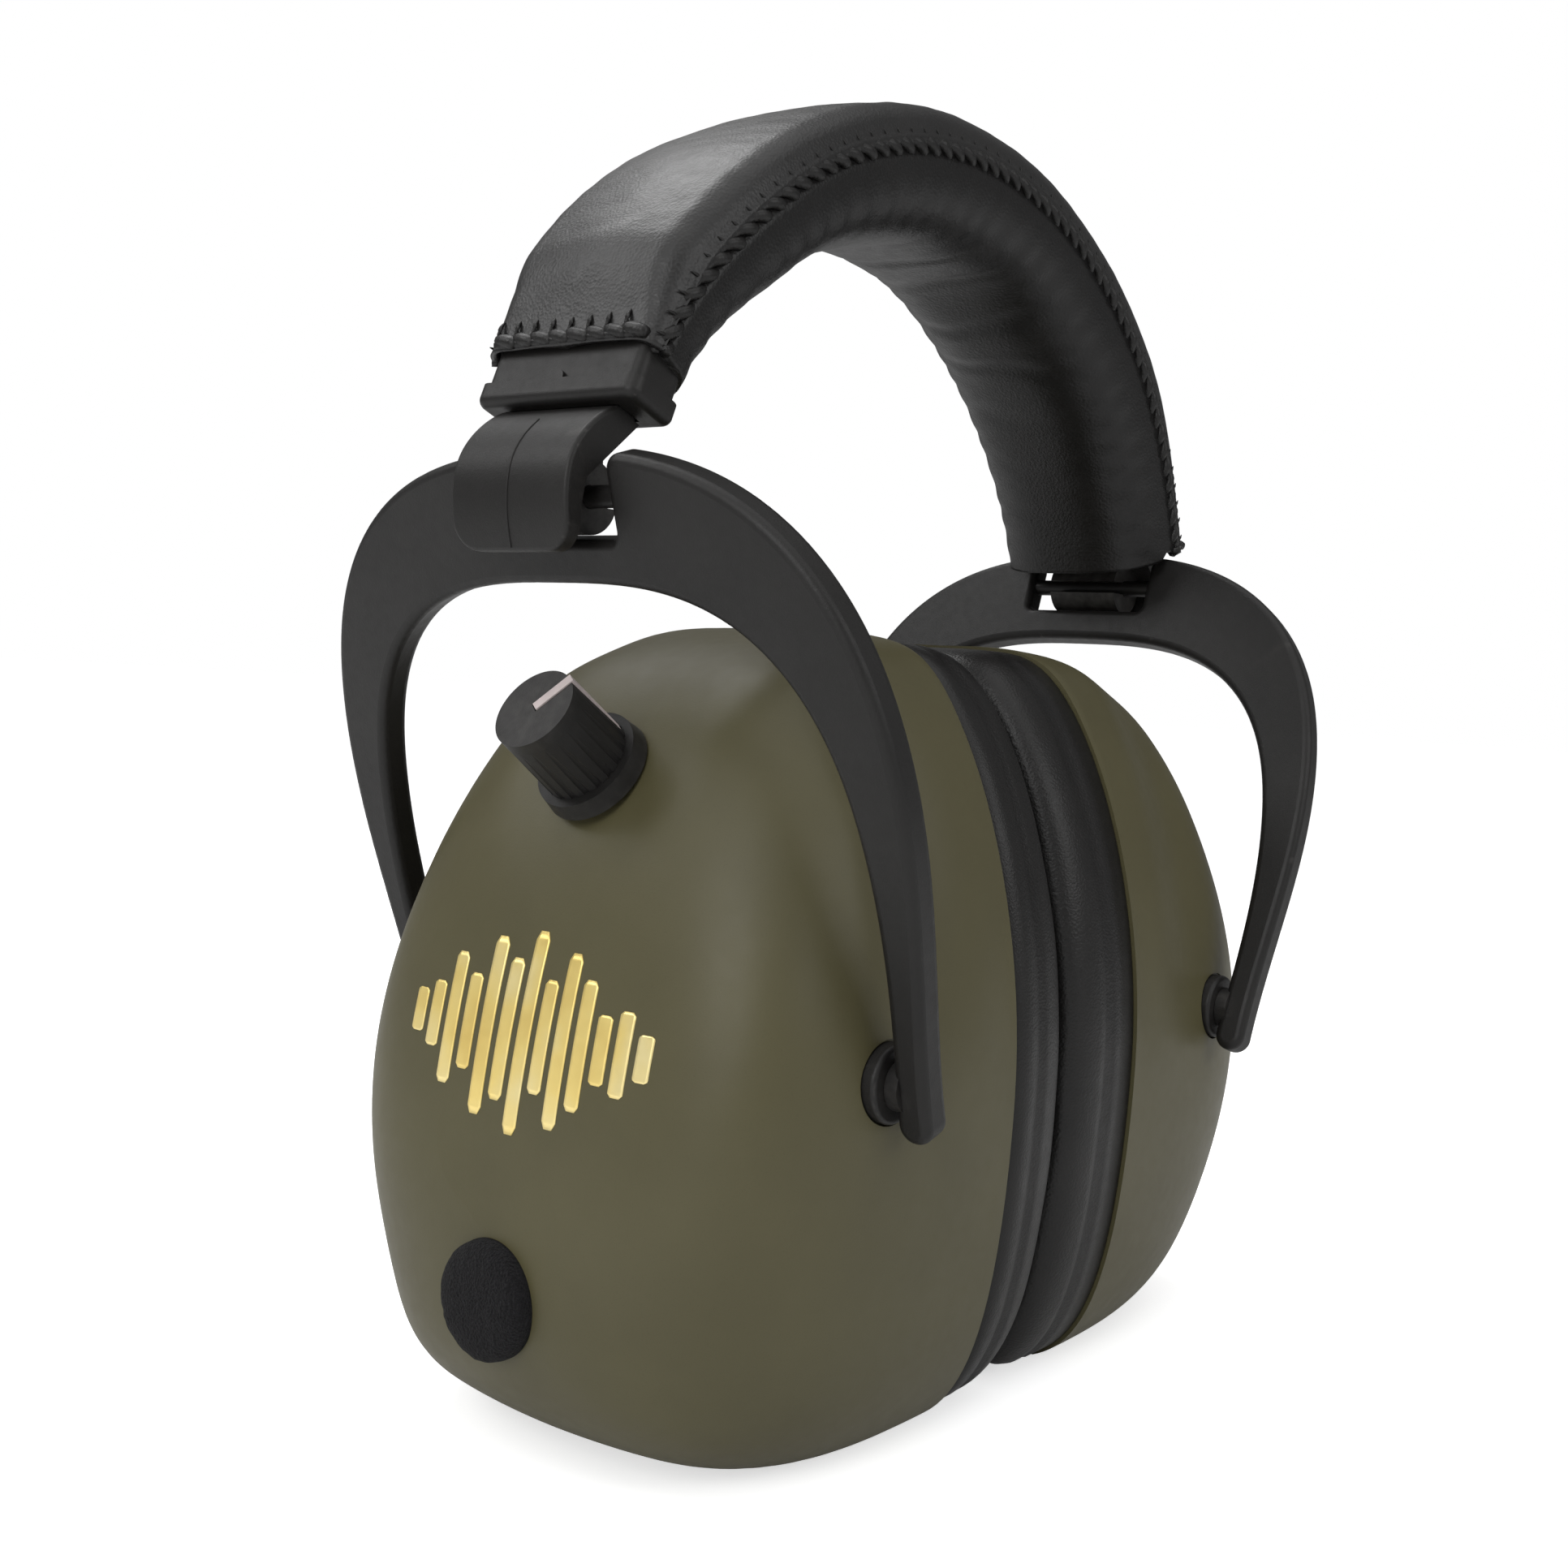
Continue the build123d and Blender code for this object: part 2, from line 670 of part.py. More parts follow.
with BuildPart() as headband_cover:
    with BuildSketch(band_plane(-cover_left_deg)):
        with BuildLine():
            Line((-band_half, arch_r + 0.2), (band_half, arch_r + 0.2))
            Line((band_half, arch_r + 0.2), (band_half, arch_r + cover_edge))
            Spline(
                (band_half, arch_r + cover_edge),
                (12.0, arch_r + cover_crown - 0.9),
                (0, arch_r + cover_crown),
                (-12.0, arch_r + cover_crown - 0.9),
                (-band_half, arch_r + cover_edge),
            )
            Line((-band_half, arch_r + cover_edge), (-band_half, arch_r + 0.2))
        make_face()
    revolve(axis=arch_axis, revolution_arc=cover_left_deg + cover_right_deg)
    add(housing_room(1), mode=Mode.SUBTRACT)
    add(housing_room(-1), mode=Mode.SUBTRACT)
save(headband_cover.part, "headband_cover")

with BuildPart() as headband_pad:
    with BuildSketch(band_plane(-cover_left_deg)):
        with BuildLine():
            Line((-band_half, arch_r - 0.2), (band_half, arch_r - 0.2))
            Spline(
                (band_half, arch_r - 0.2),
                (band_half - 0.6, arch_r - 6.0),
                (9.0, arch_r - pad_depth + 1.2),
                (0, arch_r - pad_depth),
                (-9.0, arch_r - pad_depth + 1.2),
                (-band_half + 0.6, arch_r - 6.0),
                (-band_half, arch_r - 0.2),
            )
        make_face()
    revolve(axis=arch_axis, revolution_arc=cover_left_deg + cover_right_deg)
    with BuildSketch(band_plane(-spring_deg - 1)):
        with Locations((0, arch_r - 1.4)):
            Rectangle(2 * (spring_half + gap), 6.0)
    revolve(axis=arch_axis, revolution_arc=2 * spring_deg + 2, mode=Mode.SUBTRACT)
    add(housing_room(1), mode=Mode.SUBTRACT)
    add(housing_room(-1), mode=Mode.SUBTRACT)
save(headband_pad.part, "headband_pad")
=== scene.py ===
import json
from math import cos, degrees, exp, pi, radians, sin

import bmesh
import bpy
from mathutils import Matrix, Vector, noise
from mathutils.bvhtree import BVHTree


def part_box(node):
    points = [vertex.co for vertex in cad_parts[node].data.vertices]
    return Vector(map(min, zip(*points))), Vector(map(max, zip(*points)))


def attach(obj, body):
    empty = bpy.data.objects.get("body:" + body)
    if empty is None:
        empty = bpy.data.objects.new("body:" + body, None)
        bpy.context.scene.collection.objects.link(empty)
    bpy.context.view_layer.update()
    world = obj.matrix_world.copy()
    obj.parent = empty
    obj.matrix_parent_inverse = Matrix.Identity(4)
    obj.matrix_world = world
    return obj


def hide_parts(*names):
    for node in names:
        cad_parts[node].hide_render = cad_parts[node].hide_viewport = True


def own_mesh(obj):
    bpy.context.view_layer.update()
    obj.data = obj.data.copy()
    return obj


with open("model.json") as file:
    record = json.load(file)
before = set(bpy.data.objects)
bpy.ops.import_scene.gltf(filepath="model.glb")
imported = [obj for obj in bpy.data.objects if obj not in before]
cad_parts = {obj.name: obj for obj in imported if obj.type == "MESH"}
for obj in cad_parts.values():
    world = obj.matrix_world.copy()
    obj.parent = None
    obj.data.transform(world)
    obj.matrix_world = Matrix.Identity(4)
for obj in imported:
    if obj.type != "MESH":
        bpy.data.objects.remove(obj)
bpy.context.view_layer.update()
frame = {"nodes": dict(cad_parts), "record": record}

MM = 0.001
SIDES = (("left", -1), ("right", 1))


# ---------------------------------------------------------------- mesh helpers
def add_piece(name, verts, faces, material):
    """Make one mesh object from plain lists, in metres."""
    mesh = bpy.data.meshes.new(name)
    mesh.from_pydata([tuple(v) for v in verts], [], faces)
    mesh.validate()
    mesh.materials.append(material)
    mesh.shade_smooth()
    piece = bpy.data.objects.new(name, mesh)
    bpy.context.scene.collection.objects.link(piece)
    return piece


def grid_faces(rows, cols, wrap_rows=False, wrap_cols=False, start=0, flip=False):
    """Quads of a grid of vertices stored row by row."""
    faces = []
    for i in range(rows if wrap_rows else rows - 1):
        for j in range(cols if wrap_cols else cols - 1):
            a = start + i * cols + j
            b = start + i * cols + (j + 1) % cols
            c = start + ((i + 1) % rows) * cols + (j + 1) % cols
            d = start + ((i + 1) % rows) * cols + j
            faces.append((a, d, c, b) if flip else (a, b, c, d))
    return faces


def add_tube(verts, faces, points, radii, sides=8):
    """Append a closed tube along a list of points."""
    start = len(verts)
    count = len(points)
    for k, point in enumerate(points):
        ahead = (points[min(k + 1, count - 1)] - points[max(k - 1, 0)]).normalized()
        across = ahead.cross(Vector((0.31, 0.17, 0.93))).normalized()
        third = ahead.cross(across)
        for j in range(sides):
            turn = 2 * pi * j / sides
            verts.append(point + (across * cos(turn) + third * sin(turn)) * radii[k])
    faces += grid_faces(count, sides, wrap_cols=True, start=start, flip=True)
    faces.append(tuple(start + j for j in range(sides)))
    last = start + (count - 1) * sides
    faces.append(tuple(last + j for j in reversed(range(sides))))


def face_outwards(piece):
    """Make the face normals agree and point out."""
    bm = bmesh.new()
    bm.from_mesh(piece.data)
    bmesh.ops.recalc_face_normals(bm, faces=bm.faces)
    bm.to_mesh(piece.data)
    bm.free()


def thick_disc(verts, rings, spokes, centre, back_ring):
    """Faces of a disc stored ring by ring, with its centre, its wall and its back added."""
    faces = grid_faces(rings, spokes, wrap_cols=True)
    middle = len(verts)
    verts.append(centre)
    faces += [(middle, (j + 1) % spokes, j) for j in range(spokes)]
    back = len(verts)
    verts += back_ring
    rim = (rings - 1) * spokes
    for j in range(spokes):
        k = (j + 1) % spokes
        faces.append((rim + j, rim + k, back + k, back + j))
    faces.append(tuple(back + j for j in range(spokes)))
    return faces


def surface_of(node):
    """Ray-cast tree of one carried-over node."""
    mesh = frame["nodes"][node].data
    corners = [v.co.copy() for v in mesh.vertices]
    return BVHTree.FromPolygons(corners, [tuple(p.vertices) for p in mesh.polygons])


def dress(piece, body, replaced=None):
    """Attach a piece to the body it rides on and hide the CAD part it replaces, if any."""
    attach(piece, body)
    if replaced:
        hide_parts(replaced)


def smoothstep(low, high, value):
    t = min(max((value - low) / (high - low), 0.0), 1.0)
    return t * t * (3 - 2 * t)


# ---------------------------------------------------------------- materials
class Nodes:
    """Short hand for building one node material."""

    def __init__(self, name):
        self.material = bpy.data.materials.new(name)
        self.material.use_nodes = True
        self.tree = self.material.node_tree
        self.shader = self.tree.nodes["Principled BSDF"]
        self.place = self.add("ShaderNodeTexCoord").outputs["Object"]

    def add(self, kind, **values):
        node = self.tree.nodes.new(kind)
        for key, value in values.items():
            setattr(node, key, value)
        return node

    def link(self, out, into):
        self.tree.links.new(out, into)

    def noise(self, scale, detail=3.0, roughness=0.5, stretch=None):
        node = self.add("ShaderNodeTexNoise")
        node.inputs["Scale"].default_value = scale
        node.inputs["Detail"].default_value = detail
        node.inputs["Roughness"].default_value = roughness
        place = self.place
        if stretch:
            mapping = self.add("ShaderNodeMapping")
            mapping.inputs["Scale"].default_value = stretch
            self.link(place, mapping.inputs["Vector"])
            place = mapping.outputs["Vector"]
        self.link(place, node.inputs["Vector"])
        return node.outputs["Fac"]

    def cells(self, scale, feature="F1"):
        node = self.add("ShaderNodeTexVoronoi", feature=feature)
        node.inputs["Scale"].default_value = scale
        self.link(self.place, node.inputs["Vector"])
        return node.outputs["Distance"]

    def ramp(self, value, stops):
        node = self.add("ShaderNodeValToRGB")
        elements = node.color_ramp.elements
        while len(elements) < len(stops):
            elements.new(0.5)
        for element, (place, colour) in zip(elements, stops):
            element.position = place
            element.color = (*colour, 1.0)
        self.link(value, node.inputs["Fac"])
        return node.outputs["Color"]

    def span(self, value, low, high):
        node = self.add("ShaderNodeMapRange")
        node.inputs["To Min"].default_value = low
        node.inputs["To Max"].default_value = high
        self.link(value, node.inputs["Value"])
        return node.outputs["Result"]

    def blend(self, factor, first, second):
        node = self.add("ShaderNodeMix", data_type="RGBA")
        self.link(factor, node.inputs["Factor"])
        self.link(first, node.inputs["A"])
        self.link(second, node.inputs["B"])
        return node.outputs["Result"]

    def worn_edges(self, low, high):
        """1 on sharp outer edges, 0 on flats."""
        pointiness = self.add("ShaderNodeNewGeometry").outputs["Pointiness"]
        node = self.add("ShaderNodeMapRange")
        node.inputs["From Min"].default_value = low
        node.inputs["From Max"].default_value = high
        self.link(pointiness, node.inputs["Value"])
        return node.outputs["Result"]

    def bump(self, height, strength, distance, under=None):
        node = self.add("ShaderNodeBump")
        node.inputs["Strength"].default_value = strength
        node.inputs["Distance"].default_value = distance
        self.link(height, node.inputs["Height"])
        if under is not None:
            self.link(under, node.inputs["Normal"])
        return node.outputs["Normal"]

    def finish(self, colour=None, roughness=None, normal=None, **fixed):
        if colour is not None:
            self.link(colour, self.shader.inputs["Base Color"])
        if roughness is not None:
            self.link(roughness, self.shader.inputs["Roughness"])
        if normal is not None:
            self.link(normal, self.shader.inputs["Normal"])
        for key, value in fixed.items():
            self.shader.inputs[key.replace("_", " ")].default_value = value
        return self.material


def shade(tone, factor):
    return tuple(factor * c for c in tone)


def painted_olive():
    n = Nodes("olive_paint")
    mottling = n.noise(55, 4)
    colour = n.ramp(mottling, [(0.3, (0.074, 0.066, 0.031)), (0.7, (0.086, 0.077, 0.037))])
    speck = n.ramp(n.noise(5200, 2), [(0.33, (0.050, 0.045, 0.023)), (0.42, (0.080, 0.072, 0.035))])
    colour = n.blend(n.span(n.noise(9000, 1), 0.0, 0.35), colour, speck)
    rough = n.span(n.noise(420, 4), 0.40, 0.52)
    fine = n.bump(n.noise(3800, 3), 0.10, 0.00012)
    normal = n.bump(n.noise(130, 2), 0.05, 0.0006, fine)
    return n.finish(
        colour, rough, normal, Specular_IOR_Level=0.32, Coat_Weight=0.04, Coat_Roughness=0.35
    )


def black_plastic():
    n = Nodes("black_plastic")
    low, high = (0.0082, 0.0076, 0.0072), (0.0120, 0.0112, 0.0106)
    base = n.ramp(n.noise(70, 4), [(0.3, low), (0.7, high)])
    worn = n.ramp(n.noise(600, 4), [(0.35, (0.014, 0.013, 0.012)), (0.7, (0.034, 0.032, 0.030))])
    colour = n.blend(n.worn_edges(0.53, 0.62), base, worn)
    rough = n.span(n.noise(650, 5), 0.38, 0.54)
    fine = n.bump(n.noise(4200, 3), 0.16, 0.00015)
    normal = n.bump(n.cells(1500), 0.05, 0.00012, fine)
    return n.finish(colour, rough, normal, Specular_IOR_Level=0.32)


def leather(name, tone, grain, wrinkle, shine=0.34, coat=0.03):
    n = Nodes(name)
    colour = n.ramp(n.noise(90, 5), [(0.3, shade(tone, 0.8)), (0.75, shade(tone, 1.35))])
    rough = n.span(n.noise(500, 5), 0.33, 0.50)
    pores = n.bump(n.cells(grain), 0.30, 0.00016)
    creases = n.bump(n.cells(grain * 0.42, "DISTANCE_TO_EDGE"), 0.16, 0.0002, pores)
    normal = n.bump(n.noise(150, 5, 0.6, (1, 0.35, 1)), wrinkle, 0.0011, creases)
    return n.finish(
        colour, rough, normal, Specular_IOR_Level=shine, Coat_Weight=coat, Coat_Roughness=0.34
    )


def thread():
    n = Nodes("waxed_lacing")
    low, high = (0.0045, 0.0042, 0.0040), (0.0110, 0.0102, 0.0098)
    colour = n.ramp(n.noise(800, 4), [(0.3, low), (0.75, high)])
    rough = n.span(n.noise(1500, 3), 0.32, 0.5)
    normal = n.bump(n.noise(1800, 4), 0.35, 0.0003)
    return n.finish(colour, rough, normal, Specular_IOR_Level=0.35)


def foam(name, tone, pores, depth):
    n = Nodes(name)
    colour = n.ramp(n.noise(pores, 3), [(0.35, shade(tone, 0.45)), (0.65, shade(tone, 1.5))])
    rough = n.span(n.noise(pores * 0.3, 2), 0.88, 1.0)
    under = n.bump(n.cells(pores * 0.8), 0.6, depth)
    normal = n.bump(n.noise(pores * 1.7, 4, 0.7), 0.8, depth, under)
    return n.finish(
        colour, rough, normal, Specular_IOR_Level=0.1, Sheen_Weight=0.06, Sheen_Roughness=0.6
    )


def metal(name, tone, rough_low, rough_high, scale=900):
    n = Nodes(name)
    colour = n.ramp(n.noise(scale * 0.2, 4), [(0.3, shade(tone, 0.85)), (0.7, tone)])
    rough = n.span(n.noise(scale, 5, 0.6, (1, 6, 1)), rough_low, rough_high)
    normal = n.bump(n.noise(scale * 2, 3, 0.5, (1, 8, 1)), 0.06, 0.0001)
    return n.finish(colour, rough, normal, Metallic=1.0)


def gold_foil():
    n = Nodes("gold_foil")
    sheen = n.noise(70, 3)
    deep, middle, pale = (0.84, 0.60, 0.17), (1.0, 0.78, 0.27), (1.0, 0.86, 0.44)
    colour = n.ramp(sheen, [(0.3, deep), (0.5, middle), (0.72, pale)])
    rough = n.span(n.noise(900, 4), 0.30, 0.44)
    normal = n.bump(n.noise(1400, 3), 0.12, 0.00012)
    return n.finish(colour, rough, normal, Metallic=0.65)


def moulded(name, tone, rough_low=0.35, rough_high=0.5):
    n = Nodes(name)
    colour = n.ramp(n.noise(300, 4), [(0.3, shade(tone, 0.8)), (0.7, shade(tone, 1.1))])
    rough = n.span(n.noise(900, 4), rough_low, rough_high)
    normal = n.bump(n.noise(3000, 2), 0.08, 0.0001)
    return n.finish(colour, rough, normal)


OLIVE = painted_olive()
BLACK = black_plastic()
COVER_LEATHER = leather("cover_leather", (0.0100, 0.0096, 0.0094), 2300, 0.05, 0.42, 0.08)
PAD_LEATHER = leather("pad_leather", (0.0052, 0.0048, 0.0046), 2100, 0.12)
CUSHION_LEATHER = leather("cushion_leather", (0.0074, 0.0068, 0.0065), 2500, 0.07)
LACING = thread()
LINER_FOAM = foam("liner_foam", (0.028, 0.028, 0.030), 1500, 0.0005)
FELT = foam("windscreen_felt", (0.0072, 0.0066, 0.0080), 3000, 0.0006)
GOLD = gold_foil()
STEEL = metal("plated_steel", (0.56, 0.56, 0.57), 0.25, 0.42)
SPRING = metal("spring_steel", (0.36, 0.36, 0.38), 0.3, 0.45)
BOARD = moulded("solder_mask", (0.02, 0.11, 0.045), 0.25, 0.4)
CAN = metal("battery_can", (0.22, 0.23, 0.25), 0.3, 0.4)
POINTER = moulded("pointer_white", (0.50, 0.43, 0.42), 0.4, 0.55)
SPEAKER = moulded("speaker_case", (0.03, 0.03, 0.032))

SLOT_MATERIALS = {
    "cup_plastic": OLIVE,
    "black_plastic": BLACK,
    "leather": COVER_LEATHER,
    "foam": LINER_FOAM,
    "windscreen_foam": FELT,
    "steel": STEEL,
    "spring_steel": SPRING,
    "speaker_case": SPEAKER,
    "board": BOARD,
    "battery_can": CAN,
    "pointer_white": POINTER,
}


def dress_cad_nodes():
    """Give every carried-over CAD node the material of its slot."""
    for part in frame["record"]["subparts"]:
        node = frame["nodes"][part["node"]]
        node.data.materials.clear()
        node.data.materials.append(SLOT_MATERIALS[part["material_slot"]])


# ---------------------------------------------------------------- headband
ARCH_Z = 114.3 * MM
SEAM_R = 78.0 * MM
LEFT_END = -62.4
RIGHT_END = 72.0
RIGHT_FLOOR = 139.2 * MM
PAD_FLOOR = 133.2 * MM


def band_point(turn, radius, y):
    """Point on the headband: angle from the top in degrees, distance from the arc's centre, y."""
    return Vector((radius * sin(radians(turn)), y, ARCH_Z + radius * cos(radians(turn))))


def above_yoke(point, radius):
    """Lift a point of the right-hand end so that it clears the top of the yoke."""
    if point.x > 0:
        outwards = smoothstep(SEAM_R - 9 * MM, SEAM_R - 3 * MM, radius)
        point.z = max(point.z, PAD_FLOOR + (RIGHT_FLOOR - PAD_FLOOR) * outwards)
    return point


def near_left(turn, reach):
    return 1 - smoothstep(0, reach, turn - LEFT_END)


def near_right(turn, reach):
    return 1 - smoothstep(0, reach, RIGHT_END - turn)


def near_end(turn, reach):
    """0 along the band, 1 at either end of the sleeve, over a reach in degrees."""
    return max(near_left(turn, reach), near_right(turn, reach))


def crown(turn):
    """Height of the padded cover over the seam line."""
    return (6.3 - 3.6 * near_left(turn, 11) - 1.7 * near_right(turn, 26)) * MM


def half_width(turn):
    """Half the sleeve's width; it narrows a little towards its ends."""
    return (17.5 - 0.8 * near_end(turn, 30) - 1.1 * near_left(turn, 26)) * MM


def cover_outline(turn):
    """Points over the cover, from the back seam up, over the top and down to the front seam."""
    wide = half_width(turn)
    high = crown(turn)
    corner = min(4.6 * MM, 0.9 * high)
    profile = []
    for k in range(5):
        rise = (high - corner) * k / 5
        profile.append((wide + 0.35 * MM * sin(pi * k / 6), rise))
    for k in range(9):
        a = pi / 2 * k / 8
        profile.append((wide - corner * (1 - cos(a)), high - corner + corner * sin(a)))
    flat = wide - corner
    for k in range(1, 9):
        y = flat * (1 - k / 8)
        profile.append((y, high * (1 + 0.14 * (1 - (y / flat) ** 2))))
    profile += [(-y, rise) for y, rise in reversed(profile[:-1])]
    points = []
    for y, rise in profile:
        sag = 0.22 * noise.noise(Vector((turn * 0.08, y * 90, 0.0)))
        sag += 0.10 * noise.noise(Vector((turn * 0.5, y * 240, 4.0)))
        radius = SEAM_R + 0.2 * MM + rise + sag * MM * min(rise / high * 2, 1.0)
        points.append(above_yoke(band_point(turn, radius, y), radius))
    return points


def make_cover():
    """The padded leather outer of the headband, from end to end of the sleeve."""
    steps = 240
    turns = [LEFT_END + (RIGHT_END - LEFT_END) * i / steps for i in range(steps + 1)]
    rows = [cover_outline(turn) for turn in turns]
    cols = len(rows[0])
    verts = [p for row in rows for p in row]
    faces = grid_faces(len(rows), cols)
    # the leather turns under at the seams and at the two open ends
    inner = len(verts)
    for turn, row in zip(turns, rows):
        centre = band_point(turn, SEAM_R + 1.0 * MM, 0)
        for p in row:
            verts.append(p + (centre - p).normalized() * 1.1 * MM)
    faces += grid_faces(len(rows), cols, start=inner, flip=True)
    for i in range(len(rows) - 1):
        for j in (0, cols - 1):
            a, b = i * cols + j, (i + 1) * cols + j
            faces.append((a, b, inner + b, inner + a))
    for j in range(cols - 1):
        for i in (0, len(rows) - 1):
            a, b = i * cols + j, i * cols + j + 1
            faces.append((a, b, inner + b, inner + a))
    piece = add_piece("band_cover", verts, faces, COVER_LEATHER)
    face_outwards(piece)
    return piece


def pad_depth(turn):
    """Thickness of the pad below the seam line; it swells on the way down to the right."""
    swell = smoothstep(8.0, 40.0, turn)
    return (12.4 + 2.4 * swell - 3.4 * near_left(turn, 24)) * MM


def pucker(turn, across):
    """Soft folds across the pad, with small gathers beside the seams."""
    side = abs(across)
    drift = noise.noise(Vector((turn * 0.05, across * 0.9, 5.0)))
    gathers = sin(turn * 1.35 + 2.0 * noise.noise(Vector((turn * 0.11, across * 0.8, 3.1))))
    broad = noise.noise(Vector((turn * 0.07, across * 0.7, 7.7)))
    folds = sin(turn * 0.62 + 1.6 * across + 3.0 * drift)
    creased = smoothstep(-14, 4, turn) * (1 - smoothstep(24, 52, turn))
    sharp = max(folds, 0.0) ** 2 - 0.4
    edge = smoothstep(0.62, 0.90, side) * (1 - smoothstep(0.96, 1.0, side))
    middle = 1 - smoothstep(0.35, 0.98, side)
    dents = 1.1 * broad + (0.08 + 0.28 * creased) * sharp
    return (0.20 * edge * gathers + middle * dents) * MM


def make_pad():
    """The soft inner of the headband, closed along its top and at both ends."""
    steps = 300
    count = 40
    verts = []
    for i in range(steps + 1):
        turn = LEFT_END + (RIGHT_END - LEFT_END) * i / steps
        wide = half_width(turn) - 0.1 * MM
        for k in range(count + 1):
            a = pi * k / count
            side = 1 if cos(a) >= 0 else -1
            across = side * abs(cos(a)) ** 0.64
            fall = sin(a) ** 0.72
            radius = SEAM_R - 0.3 * MM - fall * pad_depth(turn) + pucker(turn, across)
            radius = min(radius, SEAM_R - 0.3 * MM)
            verts.append(above_yoke(band_point(turn, radius, across * wide), radius))
    cols = count + 1
    faces = grid_faces(steps + 1, cols)
    top = len(verts)
    for i in range(steps + 1):
        a, b = verts[i * cols], verts[i * cols + count]
        verts += [a.lerp(b, 0.04), a.lerp(b, 0.96)]
    for i in range(steps):
        a, b = i * cols, (i + 1) * cols
        c, d = top + 2 * i, top + 2 * (i + 1)
        faces.append((a, c, d, b))
        faces.append((c, c + 1, d + 1, d))
        faces.append((c + 1, a + count, b + count, d + 1))
    for i in (0, steps):
        ring = [i * cols + k for k in range(cols)] + [top + 2 * i + 1, top + 2 * i]
        faces.append(tuple(ring))
    piece = add_piece("band_pad", verts, faces, PAD_LEATHER)
    face_outwards(piece)
    return piece


ROPE_STRANDS = 2
ROPE_PITCH = 3.3 * MM
ROPE_R = 0.74 * MM
STRAND_R = 0.86 * MM


def seam_spot(way, along, turn_round, reach):
    """Point round a side seam, by distance along it, angle round it and distance from it."""
    turn = LEFT_END + degrees(along / SEAM_R)
    wander = 0.18 * MM * noise.noise(Vector((along * 160, way * 2.0, 1.0)))
    y = way * (half_width(turn) - 0.75 * MM + reach * cos(turn_round))
    radius = SEAM_R + wander + reach * sin(turn_round)
    return above_yoke(band_point(turn, radius, y), radius)


def add_prick(verts, faces, foot, tip, bulge, thick):
    """A short thread end that goes from the lacing into the leather."""
    path = []
    for k in range(6):
        t = k / 5
        path.append(foot.lerp(tip, t) + bulge * sin(pi * t))
    add_tube(verts, faces, path, [thick * (1 - 0.75 * (k / 5) ** 2) for k in range(6)], 6)


def lace_seam(verts, faces, way):
    """Twisted lacing down one side seam, with a short thread end above each stitch."""
    length = radians(RIGHT_END - LEFT_END) * SEAM_R
    steps = int(length / (0.35 * MM))
    for strand in range(ROPE_STRANDS):
        path, radii = [], []
        for k in range(steps + 1):
            along = length * k / steps
            spin = way * 2 * pi * (along / ROPE_PITCH + strand) / ROPE_STRANDS
            loose = noise.noise(Vector((along * 420, strand * 5.0, way * 3.0)))
            path.append(seam_spot(way, along, spin, ROPE_R * (1 + 0.22 * loose)))
            plump = noise.noise(Vector((along * 600, strand * 2.0, 8.0)))
            radii.append(STRAND_R * (1 + 0.16 * plump))
        add_tube(verts, faces, path, radii, 9)
    count = int(length / ROPE_PITCH)
    for k in range(count):
        turn = LEFT_END + degrees(ROPE_PITCH * (k + 0.6) / SEAM_R)
        wide = way * (half_width(turn) - 0.06 * MM)
        foot = band_point(turn, SEAM_R + 0.9 * MM, wide)
        tip = band_point(turn - 0.5, SEAM_R + 2.5 * MM, wide)
        add_prick(verts, faces, foot, tip, Vector((0, way * 0.12 * MM, 0)), 0.26 * MM)


def whip_hem(verts, faces, end, inwards):
    """A row of whipped stitches across one end of the sleeve, over a rolled hem."""
    count = 8
    high = crown(end)
    for k in range(count):
        y = (2 * (k + 0.5) / count - 1) * (half_width(end) - 1.9 * MM) - 0.5 * MM
        uneven = noise.noise(Vector((k * 2.3, end, 0.0)))
        path, radii = [], []
        for j in range(9):
            t = j / 8 - 0.5
            turn = end + inwards * (0.95 + 0.75 * t)
            radius = SEAM_R + 0.1 * MM + high + (0.9 - 2.2 * t * t) * 0.4 * MM
            spread = t * (4.2 + 0.4 * uneven) * MM
            path.append(above_yoke(band_point(turn, radius, y + spread), radius))
            radii.append((1.00 + 0.14 * uneven) * (1 - (1.7 * t) ** 4 * 0.5) * MM)
        add_tube(verts, faces, path, radii, 9)
        middle = y + 1.5 * MM
        foot = band_point(end + inwards * 1.3, SEAM_R + 0.9 * MM + high, middle)
        tip = band_point(end + inwards * 3.2, SEAM_R + 0.9 * MM + high, middle + 0.4 * MM)
        lift = band_point(end, 0.3 * MM, 0) - band_point(end, 0, 0)
        add_prick(verts, faces, foot, tip, lift, 0.36 * MM)
    hem = []
    for k in range(31):
        y = (2 * k / 30 - 1) * (half_width(end) - 2.2 * MM)
        radius = SEAM_R + high + 0.2 * MM
        hem.append(above_yoke(band_point(end + inwards * 0.7, radius, y), radius))
    add_tube(verts, faces, hem, [0.80 * MM] * len(hem))


def make_lacing():
    """All the stitching on the sleeve, as one piece."""
    verts, faces = [], []
    for way in (-1, 1):
        lace_seam(verts, faces, way)
    for end, inwards in ((LEFT_END, 1), (RIGHT_END, -1)):
        whip_hem(verts, faces, end, inwards)
    return add_piece("band_lacing", verts, faces, LACING)


# ---------------------------------------------------------------- cushions
CUP_TOP = 117.6
MIDDLE_Z = 40.0
EAR_HALF_Y = 21.6
EAR_HALF_Z = 35.6
EAR_Z = 57.5
CUSHION_INSET = 0.6
CUSHION_LIFT = 1.5


def side_width(z):
    """Half the cup's width at a height, in millimetres."""
    taper = 0.0044 if z > 50.0 else 0.0022
    return 44.1 - taper * (z - 52.0) ** 2


